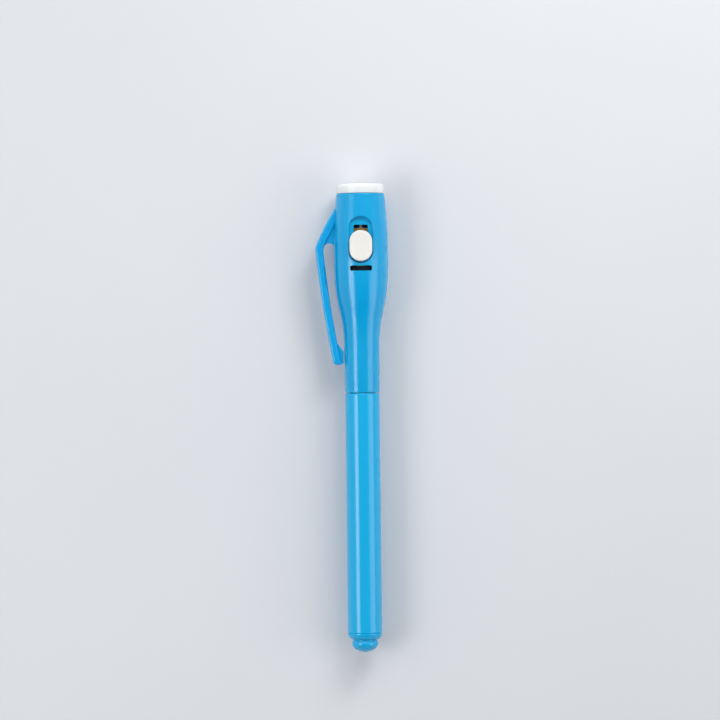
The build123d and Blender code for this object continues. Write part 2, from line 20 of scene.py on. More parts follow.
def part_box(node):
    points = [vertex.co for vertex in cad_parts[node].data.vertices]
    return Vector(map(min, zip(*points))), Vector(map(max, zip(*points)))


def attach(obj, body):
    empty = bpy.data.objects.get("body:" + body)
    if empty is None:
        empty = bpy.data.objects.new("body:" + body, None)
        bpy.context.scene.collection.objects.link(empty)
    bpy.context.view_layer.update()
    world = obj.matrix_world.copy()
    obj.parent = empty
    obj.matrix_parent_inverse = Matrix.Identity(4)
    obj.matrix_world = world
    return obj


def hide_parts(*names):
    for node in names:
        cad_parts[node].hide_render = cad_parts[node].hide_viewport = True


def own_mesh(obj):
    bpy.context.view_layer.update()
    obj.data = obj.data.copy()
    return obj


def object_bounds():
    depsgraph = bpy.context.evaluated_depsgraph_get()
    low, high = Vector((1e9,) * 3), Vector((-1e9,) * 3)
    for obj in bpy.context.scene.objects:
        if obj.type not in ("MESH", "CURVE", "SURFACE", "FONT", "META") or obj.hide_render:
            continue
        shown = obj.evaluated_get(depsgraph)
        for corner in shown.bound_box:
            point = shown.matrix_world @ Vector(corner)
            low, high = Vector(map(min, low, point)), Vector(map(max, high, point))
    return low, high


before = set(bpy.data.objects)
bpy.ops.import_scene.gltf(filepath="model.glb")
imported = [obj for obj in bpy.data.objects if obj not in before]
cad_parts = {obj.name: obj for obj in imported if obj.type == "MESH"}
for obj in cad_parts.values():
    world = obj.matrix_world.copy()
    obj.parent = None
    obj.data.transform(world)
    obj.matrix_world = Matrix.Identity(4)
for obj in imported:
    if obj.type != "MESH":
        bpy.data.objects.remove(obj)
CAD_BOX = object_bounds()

LOG = logging.getLogger("marker_pen")

MM = 0.001

# Sockets of a colour Mix node
MIX_FACTOR = 0
MIX_FIRST = 6
MIX_SECOND = 7
MIX_RESULT = 2

# Points nearer than this are one place
SAME_PLACE = 0.01 * MM

# Vertices nearer than this are merged
MERGE = 0.001 * MM

# Edges sharper than this stay crisp on a modelled piece
CREASE = math.radians(35.0)

# Detail of a noise pattern, from soft to fine
SOFT = 1.0
PLAIN = 2.0
FINE = 3.0
FINEST = 4.0

# Most of a noise pattern's values lie between these two
NOISE_LOW = 0.3
NOISE_HIGH = 0.7

# The whole of a share
FULL = 1.0


class Body(Enum):
    """The bodies that modelled pieces ride on, by their names in the frame."""

    BARREL = "barrel"
    LAMP_UNIT = "lamp_unit"


class Parting(Enum):
    """Where a moulding shows the line between the halves of its mould."""

    NONE = "none"
    SIDES = "sides"


class Grain(Enum):
    """The way the marks run on a metal."""

    LENGTHWISE = "lengthwise"
    ROUND = "round"


def linear(hex_colour: str) -> tuple[float, float, float, float]:
    """Turn an sRGB hex colour into linear values.

    Args:
        hex_colour: Six hex digits after a hash sign.

    Returns:
        Red, green, blue and a full alpha, linear.
    """
    # The sRGB curve has a straight foot and then a power
    channels = []
    for start in (1, 3, 5):
        value = int(hex_colour[start:start + 2], 16) / 255.0
        if value <= 0.04045:
            channels.append(value / 12.92)
        else:
            channels.append(((value + 0.055) / 1.055) ** 2.4)
    return channels[0], channels[1], channels[2], 1.0


def per_metre(size_mm: float) -> float:
    """Return the pattern scale whose features are about size_mm across."""
    return 1.0 / (size_mm * MM)


def feed(tree: bpy.types.NodeTree, node: bpy.types.Node, inputs: dict[str | int, object]) -> None:
    """Set or link a node's inputs.

    Args:
        tree: The node tree that holds the node.
        node: The node to feed.
        inputs: Input name or place, with a value or the socket that drives it.
    """
    for key, value in inputs.items():
        if isinstance(value, bpy.types.NodeSocket):
            tree.links.new(value, node.inputs[key])
        else:
            node.inputs[key].default_value = value


def add_node(tree: bpy.types.NodeTree, kind: str, settings: dict[str, object] | None = None,
             inputs: dict[str | int, object] | None = None) -> bpy.types.Node:
    """Add a node with its settings and links.

    Args:
        tree: The node tree to add to.
        kind: Blender's name for the node type.
        settings: Properties of the node, by name.
        inputs: Input name or place, with a value or the socket that drives it.

    Returns:
        The new node.
    """
    node = tree.nodes.new(kind)
    for name, value in (settings or {}).items():
        setattr(node, name, value)
    feed(tree, node, inputs or {})
    return node


def lengthwise(tree: bpy.types.NodeTree, place: bpy.types.NodeSocket, width_mm: float, length_mm: float,
               detail: float, roughness: float = 0.5) -> bpy.types.NodeSocket:
    """Build a pattern of marks that run along the pen.

    Args:
        tree: The material's node tree.
        place: The object coordinates.
        width_mm: Spacing of the marks across the pen.
        length_mm: How far a mark runs along it.
        detail: Detail of the pattern.
        roughness: How strongly the finer detail shows.

    Returns:
        The socket that gives the pattern.
    """
    across = per_metre(width_mm)
    drawn = add_node(tree, "ShaderNodeMapping", inputs={
        "Vector": place, "Scale": (across, per_metre(length_mm), across)})
    marks = add_node(tree, "ShaderNodeTexNoise", inputs={
        "Vector": drawn.outputs["Vector"], "Scale": 1.0, "Detail": detail, "Roughness": roughness})
    return marks.outputs["Fac"]


@dataclass(frozen=True)
class Finish:
    """A surface finish that makes one material.

    Attributes:
        name: The material's name, for what it is and how it was made.
        slot: The record's material slot that it belongs to. Not used.
    """

    name: str
    slot: str

    def wire(self, tree: bpy.types.NodeTree, shader: bpy.types.Node) -> None:
        """Build the finish's nodes into its shader."""
        raise NotImplementedError

    def material(self) -> bpy.types.Material:
        """Give the finish's material, wired on its first use.

        Returns:
            The material.
        """
        known = bpy.data.materials.get(self.name)
        if known is not None:
            return known
        made = bpy.data.materials.new(self.name)
        made.use_nodes = True
        self.wire(made.node_tree, made.node_tree.nodes["Principled BSDF"])
        return made


@dataclass(frozen=True)
class MouldedPlastic(Finish):
    """An injection moulded plastic: even colour, a skin as smooth as its mould, sometimes a parting line.

    Attributes:
        colour: The plastic's colour.
        shade: The colour that its pigment drifts to.
        cloud_mm: Size of the pigment's drift.
        roughness: Middle roughness of the skin.
        spread: How far the roughness strays from place to place.
        skin_mm: Size of the skin's texture.
        skin_depth_mm: Height of that texture.
        ior: Index of refraction.
        glow: Share of the light that goes through the surface and comes out beside it.
        glow_mm: How far that light travels.
        glow_tint: How far its red, green and blue travel, as shares of that.
        parting: Where the mould's parting line shows.
        line_core_mm: Half the width of the line's top.
        line_edge_mm: Half its width at its foot. It is drawn about twice as wide as a real one, to show.
        line_height: Its height, in heights of the skin's texture.
    """

    colour: str
    shade: str
    cloud_mm: float = 7.0
    roughness: float = 0.2
    spread: float = 0.04
    skin_mm: float = 1.1
    skin_depth_mm: float = 0.004
    ior: float = 1.49
    glow: float = 0.0
    glow_mm: float = 0.5
    glow_tint: tuple[float, float, float] = (1.0, 1.0, 1.0)
    parting: Parting = Parting.NONE
    line_core_mm: float = 0.05
    line_edge_mm: float = 0.12
    line_height: float = 1.6

    def wire(self, tree: bpy.types.NodeTree, shader: bpy.types.Node) -> None:
        """Build the pigment, skin and parting line.

        Args:
            tree: The material's node tree.
            shader: Its principled shader.
        """
        place = add_node(tree, "ShaderNodeTexCoord").outputs["Object"]
        cloud = add_node(tree, "ShaderNodeTexNoise", inputs={
            "Vector": place, "Scale": per_metre(self.cloud_mm), "Detail": FINE})
        colour = add_node(tree, "ShaderNodeMix", {"data_type": "RGBA"}, {
            MIX_FACTOR: cloud.outputs["Fac"],
            MIX_FIRST: linear(self.colour), MIX_SECOND: linear(self.shade)})
        gloss = add_node(tree, "ShaderNodeMapRange", inputs={
            "Value": cloud.outputs["Fac"], "From Min": NOISE_LOW, "From Max": NOISE_HIGH,
            "To Min": self.roughness + self.spread, "To Max": self.roughness - self.spread})
        skin = add_node(tree, "ShaderNodeTexNoise", inputs={
            "Vector": place, "Scale": per_metre(self.skin_mm), "Detail": PLAIN})
        height = skin.outputs["Fac"]
        if self.parting is not Parting.NONE:
            across = add_node(tree, "ShaderNodeSeparateXYZ", inputs={"Vector": place})
            off_plane = add_node(tree, "ShaderNodeMath", {"operation": "ABSOLUTE"}, {
                0: across.outputs["Z"]})
            line = add_node(tree, "ShaderNodeMapRange", {"interpolation_type": "SMOOTHSTEP"}, {
                "Value": off_plane.outputs[0],
                "From Min": self.line_core_mm * MM, "From Max": self.line_edge_mm * MM,
                "To Min": self.line_height, "To Max": 0.0})
            total = add_node(tree, "ShaderNodeMath", {"operation": "ADD"}, {
                0: height, 1: line.outputs["Result"]})
            height = total.outputs[0]
        bump = add_node(tree, "ShaderNodeBump", inputs={
            "Strength": FULL, "Distance": self.skin_depth_mm * MM, "Height": height})
        feed(tree, shader, {
            "Base Color": colour.outputs[MIX_RESULT], "Roughness": gloss.outputs["Result"],
            "IOR": self.ior, "Normal": bump.outputs["Normal"],
            "Subsurface Weight": self.glow, "Subsurface Scale": self.glow_mm * MM,
            "Subsurface Radius": self.glow_tint})


@dataclass(frozen=True)
class ExtrudedPlastic(Finish):
    """A tube drawn through a die: fine die lines run its whole length.

    Attributes:
        colour: The plastic's colour.
        shade: The colour in the fainter streaks.
        line_mm: Spacing of the die lines round the tube.
        line_length_mm: How far a die line runs.
        line_depth_mm: Depth of a die line.
        roughness: Middle roughness.
        spread: How far the roughness strays from streak to streak.
        ior: Index of refraction.
    """

    colour: str
    shade: str
    line_mm: float = 0.9
    line_length_mm: float = 60.0
    line_depth_mm: float = 0.003
    roughness: float = 0.2
    spread: float = 0.04
    ior: float = 1.49

    def wire(self, tree: bpy.types.NodeTree, shader: bpy.types.Node) -> None:
        """Build the streaks and the die lines.

        Args:
            tree: The material's node tree.
            shader: Its principled shader.
        """
        place = add_node(tree, "ShaderNodeTexCoord").outputs["Object"]
        lines = lengthwise(tree, place, self.line_mm, self.line_length_mm, FINE)
        colour = add_node(tree, "ShaderNodeMix", {"data_type": "RGBA"}, {
            MIX_FACTOR: lines, MIX_FIRST: linear(self.colour), MIX_SECOND: linear(self.shade)})
        gloss = add_node(tree, "ShaderNodeMapRange", inputs={
            "Value": lines, "From Min": NOISE_LOW, "From Max": NOISE_HIGH,
            "To Min": self.roughness - self.spread, "To Max": self.roughness + self.spread})
        bump = add_node(tree, "ShaderNodeBump", inputs={
            "Strength": FULL, "Distance": self.line_depth_mm * MM, "Height": lines})
        feed(tree, shader, {
            "Base Color": colour.outputs[MIX_RESULT], "Roughness": gloss.outputs["Result"],
            "IOR": self.ior, "Normal": bump.outputs["Normal"]})


@dataclass(frozen=True)
class FibreBundle(Finish):
    """A bundle of bonded fibres: matt, with strands along the pen and painted shade in the grooves between
    them.

    Attributes:
        colour: Colour of a strand.
        shade: Colour between strands, painted shade in the grooves there.
        strand_mm: Width of a strand, drawn coarse enough to show.
        strand_length_mm: How far a strand stays on the surface.
        strand_depth_mm: Depth between strands.
        fray: How strongly the finest strands show.
        roughness: Roughness of the fibre.
    """

    colour: str
    shade: str
    strand_mm: float = 0.14
    strand_length_mm: float = 3.0
    strand_depth_mm: float = 0.03
    fray: float = 0.6
    roughness: float = 0.85

    def wire(self, tree: bpy.types.NodeTree, shader: bpy.types.Node) -> None:
        """Build the strands.

        Args:
            tree: The material's node tree.
            shader: Its principled shader.
        """
        place = add_node(tree, "ShaderNodeTexCoord").outputs["Object"]
        strands = lengthwise(tree, place, self.strand_mm, self.strand_length_mm, FINEST, self.fray)
        # The pattern that sets the bump also sets the colour, so the low grooves between strands get
        # painted shade
        colour = add_node(tree, "ShaderNodeMix", {"data_type": "RGBA"}, {
            MIX_FACTOR: strands, MIX_FIRST: linear(self.shade), MIX_SECOND: linear(self.colour)})
        bump = add_node(tree, "ShaderNodeBump", inputs={
            "Strength": FULL, "Distance": self.strand_depth_mm * MM, "Height": strands})
        feed(tree, shader, {
            "Base Color": colour.outputs[MIX_RESULT], "Roughness": self.roughness,
            "Normal": bump.outputs["Normal"]})


@dataclass(frozen=True)
class CastResin(Finish):
    """Clear resin cast in a polished cup: glassy, with the slow ripples of the cast.

    Attributes:
        tint: The faint colour of the clear resin.
        roughness: Roughness of the cast skin.
        ior: Index of refraction.
        ripple_mm: Length of a ripple.
        ripple_depth_mm: Height of a ripple.
    """

    tint: str
    roughness: float = 0.03
    ior: float = 1.53
    ripple_mm: float = 1.6
    ripple_depth_mm: float = 0.006

    def wire(self, tree: bpy.types.NodeTree, shader: bpy.types.Node) -> None:
        """Build the clear body and its ripples.

        Args:
            tree: The material's node tree.
            shader: Its principled shader.
        """
        place = add_node(tree, "ShaderNodeTexCoord").outputs["Object"]
        ripple = add_node(tree, "ShaderNodeTexNoise", inputs={
            "Vector": place, "Scale": per_metre(self.ripple_mm), "Detail": SOFT})
        bump = add_node(tree, "ShaderNodeBump", inputs={
            "Strength": FULL, "Distance": self.ripple_depth_mm * MM, "Height": ripple.outputs["Fac"]})
        feed(tree, shader, {
            "Base Color": linear(self.tint), "Roughness": self.roughness, "IOR": self.ior,
            "Transmission Weight": FULL, "Normal": bump.outputs["Normal"]})


@dataclass(frozen=True)
class WorkedMetal(Finish):
    """A plated or rolled metal with the marks of its making.

    Attributes:
        colour: The metal's colour.
        shade: Its colour in the duller marks.
        grain: The way that the marks run.
        grain_mm: Spacing of the marks, drawn coarse enough to show.
        grain_length_mm: How far a lengthwise mark runs.
        grain_depth_mm: Depth of a mark.
        roughness: Middle roughness.
        spread: How far the roughness strays.
        axis_z_mm: Height of the axis that round marks go about.
    """

    colour: str
    shade: str
    grain: Grain = Grain.LENGTHWISE
    grain_mm: float = 0.12
    grain_length_mm: float = 4.0
    grain_depth_mm: float = 0.002
    roughness: float = 0.28
    spread: float = 0.08
    axis_z_mm: float = 0.0

    def marks(self, tree: bpy.types.NodeTree, place: bpy.types.NodeSocket) -> bpy.types.NodeSocket:
        """Build the pattern of marks.

        Args:
            tree: The material's node tree.
            place: The object coordinates.

        Returns:
            The socket that gives the pattern.
        """
        if self.grain is Grain.ROUND:
            centred = add_node(tree, "ShaderNodeMapping", inputs={
                "Vector": place, "Scale": (1.0, 0.0, 1.0), "Location": (0.0, 0.0, -self.axis_z_mm * MM)})
            radius = add_node(tree, "ShaderNodeVectorMath", {"operation": "LENGTH"}, {
                0: centred.outputs["Vector"]})
            rings = add_node(tree, "ShaderNodeTexNoise", {"noise_dimensions": "1D"}, {
                "W": radius.outputs["Value"], "Scale": per_metre(self.grain_mm), "Detail": PLAIN})
            return rings.outputs["Fac"]
        return lengthwise(tree, place, self.grain_mm, self.grain_length_mm, FINE)

    def wire(self, tree: bpy.types.NodeTree, shader: bpy.types.Node) -> None:
        """Build the metal and its marks.

        Args:
            tree: The material's node tree.
            shader: Its principled shader.
        """
        place = add_node(tree, "ShaderNodeTexCoord").outputs["Object"]
        marks = self.marks(tree, place)
        colour = add_node(tree, "ShaderNodeMix", {"data_type": "RGBA"}, {
            MIX_FACTOR: marks, MIX_FIRST: linear(self.colour), MIX_SECOND: linear(self.shade)})
        gloss = add_node(tree, "ShaderNodeMapRange", inputs={
            "Value": marks, "From Min": NOISE_LOW, "From Max": NOISE_HIGH,
            "To Min": self.roughness - self.spread, "To Max": self.roughness + self.spread})
        bump = add_node(tree, "ShaderNodeBump", inputs={
            "Strength": FULL, "Distance": self.grain_depth_mm * MM, "Height": marks})
        feed(tree, shader, {
            "Base Color": colour.outputs[MIX_RESULT], "Metallic": FULL,
            "Roughness": gloss.outputs["Result"], "Normal": bump.outputs["Normal"]})


# Polypropylene moulded against polished steel: a deep even sky blue with crisp, slightly wavy highlights
CAP_BLUE = MouldedPlastic("moulded_polypropylene_sky_blue", "blue_plastic", "#06A4DC", "#0CAAE0",
                          roughness=0.17, glow=0.5, glow_mm=3.0, glow_tint=(0.15, 0.55, 1.0),
                          parting=Parting.SIDES)

# The same plastic on the turned tail plug, whose mould leaves no line on its sides
PLUG_BLUE = MouldedPlastic("moulded_polypropylene_plug", "blue_plastic", "#0AAAE0", "#12B0E6",
                           roughness=0.17)

# Polypropylene tube drawn through a die: the same blue with long faint lines in its highlights
TUBE_BLUE = ExtrudedPlastic("extruded_polypropylene_sky_blue", "blue_plastic", "#0AAAE0", "#12B0E6",
                            roughness=0.18)

# Black polypropylene with a spark eroded skin: a soft sheen and a fine grain under the fingers
GRIP_BLACK = MouldedPlastic("moulded_polypropylene_black", "black_plastic", "#1B1B1E", "#232327",
                            roughness=0.42, spread=0.06, skin_mm=0.35, skin_depth_mm=0.02)

# Bonded polyester fibre ground to a point: chalky off white with strands along the nib
NIB_FIBRE = FibreBundle("bonded_polyester_nib", "nib_fibre", "#EFEBE0", "#CFC9B8")

# Crimped polyester tow: soft white strands that hold the ink
TOW_FIBRE = FibreBundle("polyester_tow", "reservoir_fibre", "#F3F2EE", "#D9D8D1", strand_mm=0.25,
                        strand_length_mm=8.0, strand_depth_mm=0.08)

# Thin rolled film round the tow: pale, smooth and glossy
WRAP_FILM = ExtrudedPlastic("rolled_polypropylene_film", "wrap_film", "#EDF1F5", "#E2E8EE", line_mm=1.5,
                            roughness=0.15)

# Natural polyethylene: waxy, milky and soft edged, with no pigment in it
SEAL_NATURAL = MouldedPlastic("moulded_polyethylene_natural", "seal_plastic", "#E4E8EA", "#DADFE2",
                              roughness=0.36, glow=0.5, glow_mm=0.8, ior=1.51)

# White ABS with a satin skin: a clean warm white key with broad, soft highlights
BUTTON_WHITE = MouldedPlastic("moulded_abs_white", "white_plastic", "#EFEDE8", "#E9E6DF", roughness=0.34,
                              spread=0.05, skin_mm=0.6, glow=0.15, glow_mm=0.4, ior=1.53)

# Diffusing polystyrene: milky white that passes the lamp's light and looks lit from inside at its edge
LENS_MILKY = MouldedPlastic("moulded_polystyrene_diffusing", "milky_plastic", "#EEF0F2", "#E6E9EC",
                            roughness=0.2, glow=0.7, glow_mm=1.4, ior=1.59)

# Black polystyrene, the plain inside moulding: matt, with a fine mould grain. Its black is partly painted
# shade, keeping the slot and window under the button dark
CRADLE_BLACK_PAINTED_SHADE = MouldedPlastic("moulded_polystyrene_black_painted_shade", "cradle_plastic", "#27292C", "#2D2F33",
                              roughness=0.48, skin_mm=0.5, skin_depth_mm=0.01, ior=1.59)

# Clear epoxy cast round the lamp's leads: a water clear dome with a breath of violet
LAMP_RESIN = CastResin("cast_epoxy_clear", "lamp_resin", "#F1ECFF")

# Bare semiconductor die: a dull violet square
LAMP_DIE = WorkedMetal("sawn_die_violet", "lamp_chip", "#B79BD8", "#8E73B4", grain_mm=0.08,
                       grain_length_mm=0.08, roughness=0.35)

# Steel lead frame, bright tinned: soft grey metal with drawn lines
LEAD_TIN = WorkedMetal("tinned_steel_drawn", "tinned_steel", "#E0DFDA", "#C9C8C3", roughness=0.3)

# Nickel plated cell cans: bright, with the fine rings that the press leaves about their middle
CELL_NICKEL = WorkedMetal("nickel_plated_steel_pressed", "cell_steel", "#DEDCD6", "#C8C6BF",
                          grain=Grain.ROUND, grain_mm=0.18, roughness=0.24, spread=0.06, axis_z_mm=-1.1)

# Spring brass strip: warm yellow metal with rolling lines along the strip
SPRING_BRASS = WorkedMetal("rolled_brass_strip", "contact_brass", "#D8B168", "#D2AA60", roughness=0.28,
                           spread=0.05, grain_depth_mm=0.001)


def dress(node: str, finish: Finish) -> None:
    """Give a CAD node its finish.

    Args:
        node: The node's name in the frame.
        finish: The finish it gets.
    """
    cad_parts[node].material_slots[0].material = finish.material()
    LOG.info("%s dressed in %s", node, finish.name)


def turn_about_pen_axis(shape: bmesh.types.BMesh, steps: int) -> None:
    """Spin a half outline into a full turned shape about the pen's axis.

    Args:
        shape: The mesh that holds the half outline, in the plane of X and Y.
        steps: Steps in the full turn.
    """
    bmesh.ops.spin(shape, geom=shape.verts[:] + shape.edges[:], cent=(0.0, 0.0, 0.0), axis=(0.0, 1.0, 0.0),
                   angle=math.tau, steps=steps, use_merge=True)
    bmesh.ops.remove_doubles(shape, verts=shape.verts[:], dist=MERGE)
    bmesh.ops.recalc_face_normals(shape, faces=shape.faces[:])


def outline(shape: bmesh.types.BMesh, corners_mm: list[tuple[float, float]]) -> list[bmesh.types.BMVert]:
    """Lay a chain of edges through a few corners of a half outline.

    Args:
        shape: The mesh to add to.
        corners_mm: Distance from the axis and place along it, corner by corner.

    Returns:
        The corners' vertices, in order.
    """
    corners = [shape.verts.new((radius * MM, place * MM, 0.0)) for radius, place in corners_mm]
    for start, end in zip(corners, corners[1:]):
        shape.edges.new((start, end))
    return corners


def place_piece(name: str, shape: bmesh.types.BMesh, finish: Finish, body: Body) -> bpy.types.Object:
    """Make a finished piece from its mesh and let it ride on a body.

    Args:
        name: The piece's name.
        shape: Its mesh, which is freed.
        finish: Its finish.
        body: The body that it moves with.

    Returns:
        The piece's object.
    """
    mesh = bpy.data.meshes.new(name)
    shape.to_mesh(mesh)
    shape.free()
    mesh.shade_smooth()
    mesh.set_sharp_from_angle(angle=CREASE)
    mesh.materials.append(finish.material())
    piece = bpy.data.objects.new(name, mesh)
    bpy.context.scene.collection.objects.link(piece)
    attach(piece, body.value)
    LOG.info("%s built with %d faces, rides on %s", name, len(mesh.polygons), body.value)
    return piece


@dataclass
class BarrelAssembly:
    """The ink barrel: tube, tail plug, grip, nib, reservoir and its wrap.

    Attributes:
        gate_nub_mm: Radius of the sheared gate on the tail's dome.
        gate_foot_mm: Radius where the gate's foot meets the dome.
        gate_rise_mm: Height of the gate over the dome.
        gate_sink_mm: How far its foot goes into the dome.
        gate_steps: Steps round the gate.
    """

    gate_nub_mm: float = 0.45
    gate_foot_mm: float = 0.6
    gate_rise_mm: float = 0.07
    gate_sink_mm: float = 0.06
    gate_steps: int = 32

    def build(self) -> None:
        """Model the gate mark that moulding leaves in the middle of the tail's dome."""
        tail_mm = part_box("rear_plug")[0][1] / MM
        shape = bmesh.new()
        outline(shape, [
            (0.0, tail_mm - self.gate_rise_mm),
            (self.gate_nub_mm, tail_mm - self.gate_rise_mm),
            (self.gate_foot_mm, tail_mm + self.gate_sink_mm),
            (0.0, tail_mm + self.gate_sink_mm),
        ])
        turn_about_pen_axis(shape, self.gate_steps)
        place_piece("tail_gate_mark", shape, PLUG_BLUE, Body.BARREL)

    def dress(self) -> None:
        """Give the barrel's pieces their finishes."""
        dress("barrel_tube", TUBE_BLUE)
        dress("rear_plug", PLUG_BLUE)
        dress("grip_section", GRIP_BLACK)
        dress("nib", NIB_FIBRE)
        dress("ink_reservoir", TOW_FIBRE)
        dress("reservoir_wrap", WRAP_FILM)


@dataclass
class CapAssembly:
    """The cap with its clip, button recess and lamp head, and the seal for the nib inside it.

    Attributes:
        shell: Finish of the cap's shell.
        seal: Finish of the seal.
    """

    shell: Finish = CAP_BLUE
    seal: Finish = SEAL_NATURAL

    def dress(self) -> None:
        """Give the cap's pieces their finishes."""
        dress("cap_shell", self.shell)
        dress("nib_seal", self.seal)


@dataclass
class ButtonAssembly:
    """The white push button on the cap's head.

    Attributes:
        key: Finish of the button.
    """

    key: Finish = BUTTON_WHITE

    def dress(self) -> None:
        """Give the button its finish."""
        dress("push_button", self.key)


@dataclass
class LampUnit:
    """The lamp, its cells, contacts and cradle, which draw out of the cap's end as one.

    Attributes:
        body_radius_mm: Radius of the lamp's clear body.
        flange_radius_mm: Radius of its seating flange.
        flange_mm: Length of the flange.
        post_mm: Length of the lead posts inside the body.
        lead_pitch_mm: Distance between the leads.
        die_mm: Height of the die on its post.
        dome_steps: Steps over the dome.
        turn_steps: Steps round the turned pieces.
        wire_radius_mm: Radius of the bond wire, drawn twice too thick so that it shows.
        wire_sides: Sides of the bond wire.
        cup_inner_mm: Radius of the reflector cup's floor.
        cup_mouth_mm: Radius of the cup's mouth.
        cup_outer_mm: Outer radius of the cup.
        cup_depth_mm: Depth of the cup.
        leaf_width_mm: Width of the leaf's strip.
        leaf_tip_mm: Length of the wide tip, which shows in the cap's window.
        leaf_root_mm: Length of the leaf's flat root.
        leaf_level_mm: Length of its level stretch.
        leaf_thickness_mm: Thickness of the strip.
        leaf_bend_mm: How far each bend is eased.
        leaf_bend_least: The least turn that counts as a bend, in degrees.
        leaf_bend_steps: Steps round each bend.
        leaf_corner_mm: Rounding of the tip's corners.
        leaf_corner_steps: Steps round each corner.
        dimple_mm: Radius of the contact dimple.
        dimple_flatness: Height of the dimple over its radius.
        dimple_back_mm: The dimple's place behind the tip.
        dimple_steps: Steps round the dimple.
        pressed_share: Share of the leaf's rise that is left when the button is down. Not used.
    """

    body_radius_mm: float = 2.5
    flange_radius_mm: float = 2.9
    flange_mm: float = 1.0
    post_mm: float = 4.0
    lead_pitch_mm: float = 2.54
    die_mm: float = 0.25
    dome_steps: int = 14
    turn_steps: int = 56
    wire_radius_mm: float = 0.03
    wire_sides: int = 8
    cup_inner_mm: float = 0.3
    cup_mouth_mm: float = 0.43
    cup_outer_mm: float = 0.5
    cup_depth_mm: float = 0.32
    leaf_width_mm: float = 2.5
    leaf_tip_mm: float = 1.2
    leaf_root_mm: float = 1.25
    leaf_level_mm: float = 7.0
    leaf_thickness_mm: float = 0.25
    leaf_bend_mm: float = 0.7
    leaf_bend_least: float = 2.0
    leaf_bend_steps: int = 6
    leaf_corner_mm: float = 0.3
    leaf_corner_steps: int = 5
    dimple_mm: float = 0.4
    dimple_flatness: float = 0.5
    dimple_back_mm: float = 1.4
    dimple_steps: int = 20
    pressed_share: float = 0.46

    def build(self) -> None:
        """Model the clear lamp body, its fine inner pieces and the switch's leaf spring."""
        self.build_bulb()
        self.build_cup()
        self.build_bond_wire()
        self.build_leaf()

    def die_top_mm(self) -> float:
        """Return the place of the die's top along the pen."""
        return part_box("uv_led")[0][1] / MM + self.post_mm + self.die_mm

    def build_bulb(self) -> None:
        """Turn the clear lamp body, one closed skin round its leads."""
        low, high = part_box("uv_led")
        base_mm = low[1] / MM
        tip_mm = high[1] / MM
        dome_mm = tip_mm - self.body_radius_mm
        shape = bmesh.new()
        corners = outline(shape, [
            (0.0, base_mm),
            (self.flange_radius_mm, base_mm),
            (self.flange_radius_mm, base_mm + self.flange_mm),
            (self.body_radius_mm, base_mm + self.flange_mm),
            (self.body_radius_mm, dome_mm),
        ])
        bmesh.ops.spin(shape, geom=[corners[-1]], cent=(0.0, dome_mm * MM, 0.0), axis=(0.0, 0.0, 1.0),
                       angle=math.pi / 2.0, steps=self.dome_steps)
        turn_about_pen_axis(shape, self.turn_steps)
        bulb = place_piece("lamp_bulb", shape, LAMP_RESIN, Body.LAMP_UNIT)
        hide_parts("uv_led")

    def build_cup(self) -> None:
        """Turn the small reflector cup round the die."""
        floor_mm = self.die_top_mm() - self.die_mm
        shape = bmesh.new()
        corners = outline(shape, [
            (self.cup_inner_mm, floor_mm),
            (self.cup_mouth_mm, floor_mm + self.cup_depth_mm),
            (self.cup_outer_mm, floor_mm + self.cup_depth_mm),
            (self.cup_outer_mm, floor_mm),
        ])
        shape.edges.new((corners[-1], corners[0]))
        turn_about_pen_axis(shape, self.turn_steps)
        place_piece("reflector_cup", shape, LEAD_TIN, Body.LAMP_UNIT)

    def build_bond_wire(self) -> None:
        """Loop the bond wire from the die over to the other post."""
        start = Vector((0.0, self.die_top_mm() * MM, 0.0))
        end = Vector((0.0, (self.die_top_mm() - self.die_mm) * MM, self.lead_pitch_mm / 2.0 * MM))
        shape = bmesh.new()
        bmesh.ops.create_circle(
            shape, cap_ends=False, segments=self.wire_sides, radius=self.wire_radius_mm * MM,
            matrix=Matrix.Translation(start) @ Matrix.Rotation(math.pi / 2.0, 4, "X"))
        bmesh.ops.spin(shape, geom=shape.verts[:] + shape.edges[:], cent=(start + end) / 2.0,
                       axis=(1.0, 0.0, 0.0), angle=math.pi, steps=self.dome_steps)
        bmesh.ops.holes_fill(shape, edges=shape.edges[:])
        bmesh.ops.recalc_face_normals(shape, faces=shape.faces[:])
        place_piece("bond_wire", shape, SPRING_BRASS, Body.LAMP_UNIT)

    def build_leaf(self) -> None:
        """Bend the leaf spring that the button presses onto the lamp's lead."""
        low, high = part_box("switch_leaf")
        thickness = self.leaf_thickness_mm * MM
        shape = self.leaf_strip(low, high)
        self.widen_tip(shape, high[1] - self.leaf_tip_mm * MM, high[0])
        self.round_tip(shape, high[1])
        self.ease_bends(shape)
        # The faces look down, so that the strip thickens upwards
        if sum((face.normal.z for face in shape.faces), 0.0) > 0.0:
            bmesh.ops.reverse_faces(shape, faces=shape.faces[:])
        bmesh.ops.solidify(shape, geom=shape.faces[:], thickness=thickness)
        dimple = Vector((0.0, high[1] - self.dimple_back_mm * MM, high[2] - thickness))
        bmesh.ops.create_uvsphere(
            shape, u_segments=self.dimple_steps, v_segments=self.dimple_steps // 2,
            radius=self.dimple_mm * MM,
            matrix=Matrix.Translation(dimple) @ Matrix.Diagonal((1.0, 1.0, self.dimple_flatness, 1.0)))
        leaf = place_piece("leaf_spring", shape, SPRING_BRASS, Body.LAMP_UNIT)
        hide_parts("switch_leaf")
        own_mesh(leaf)

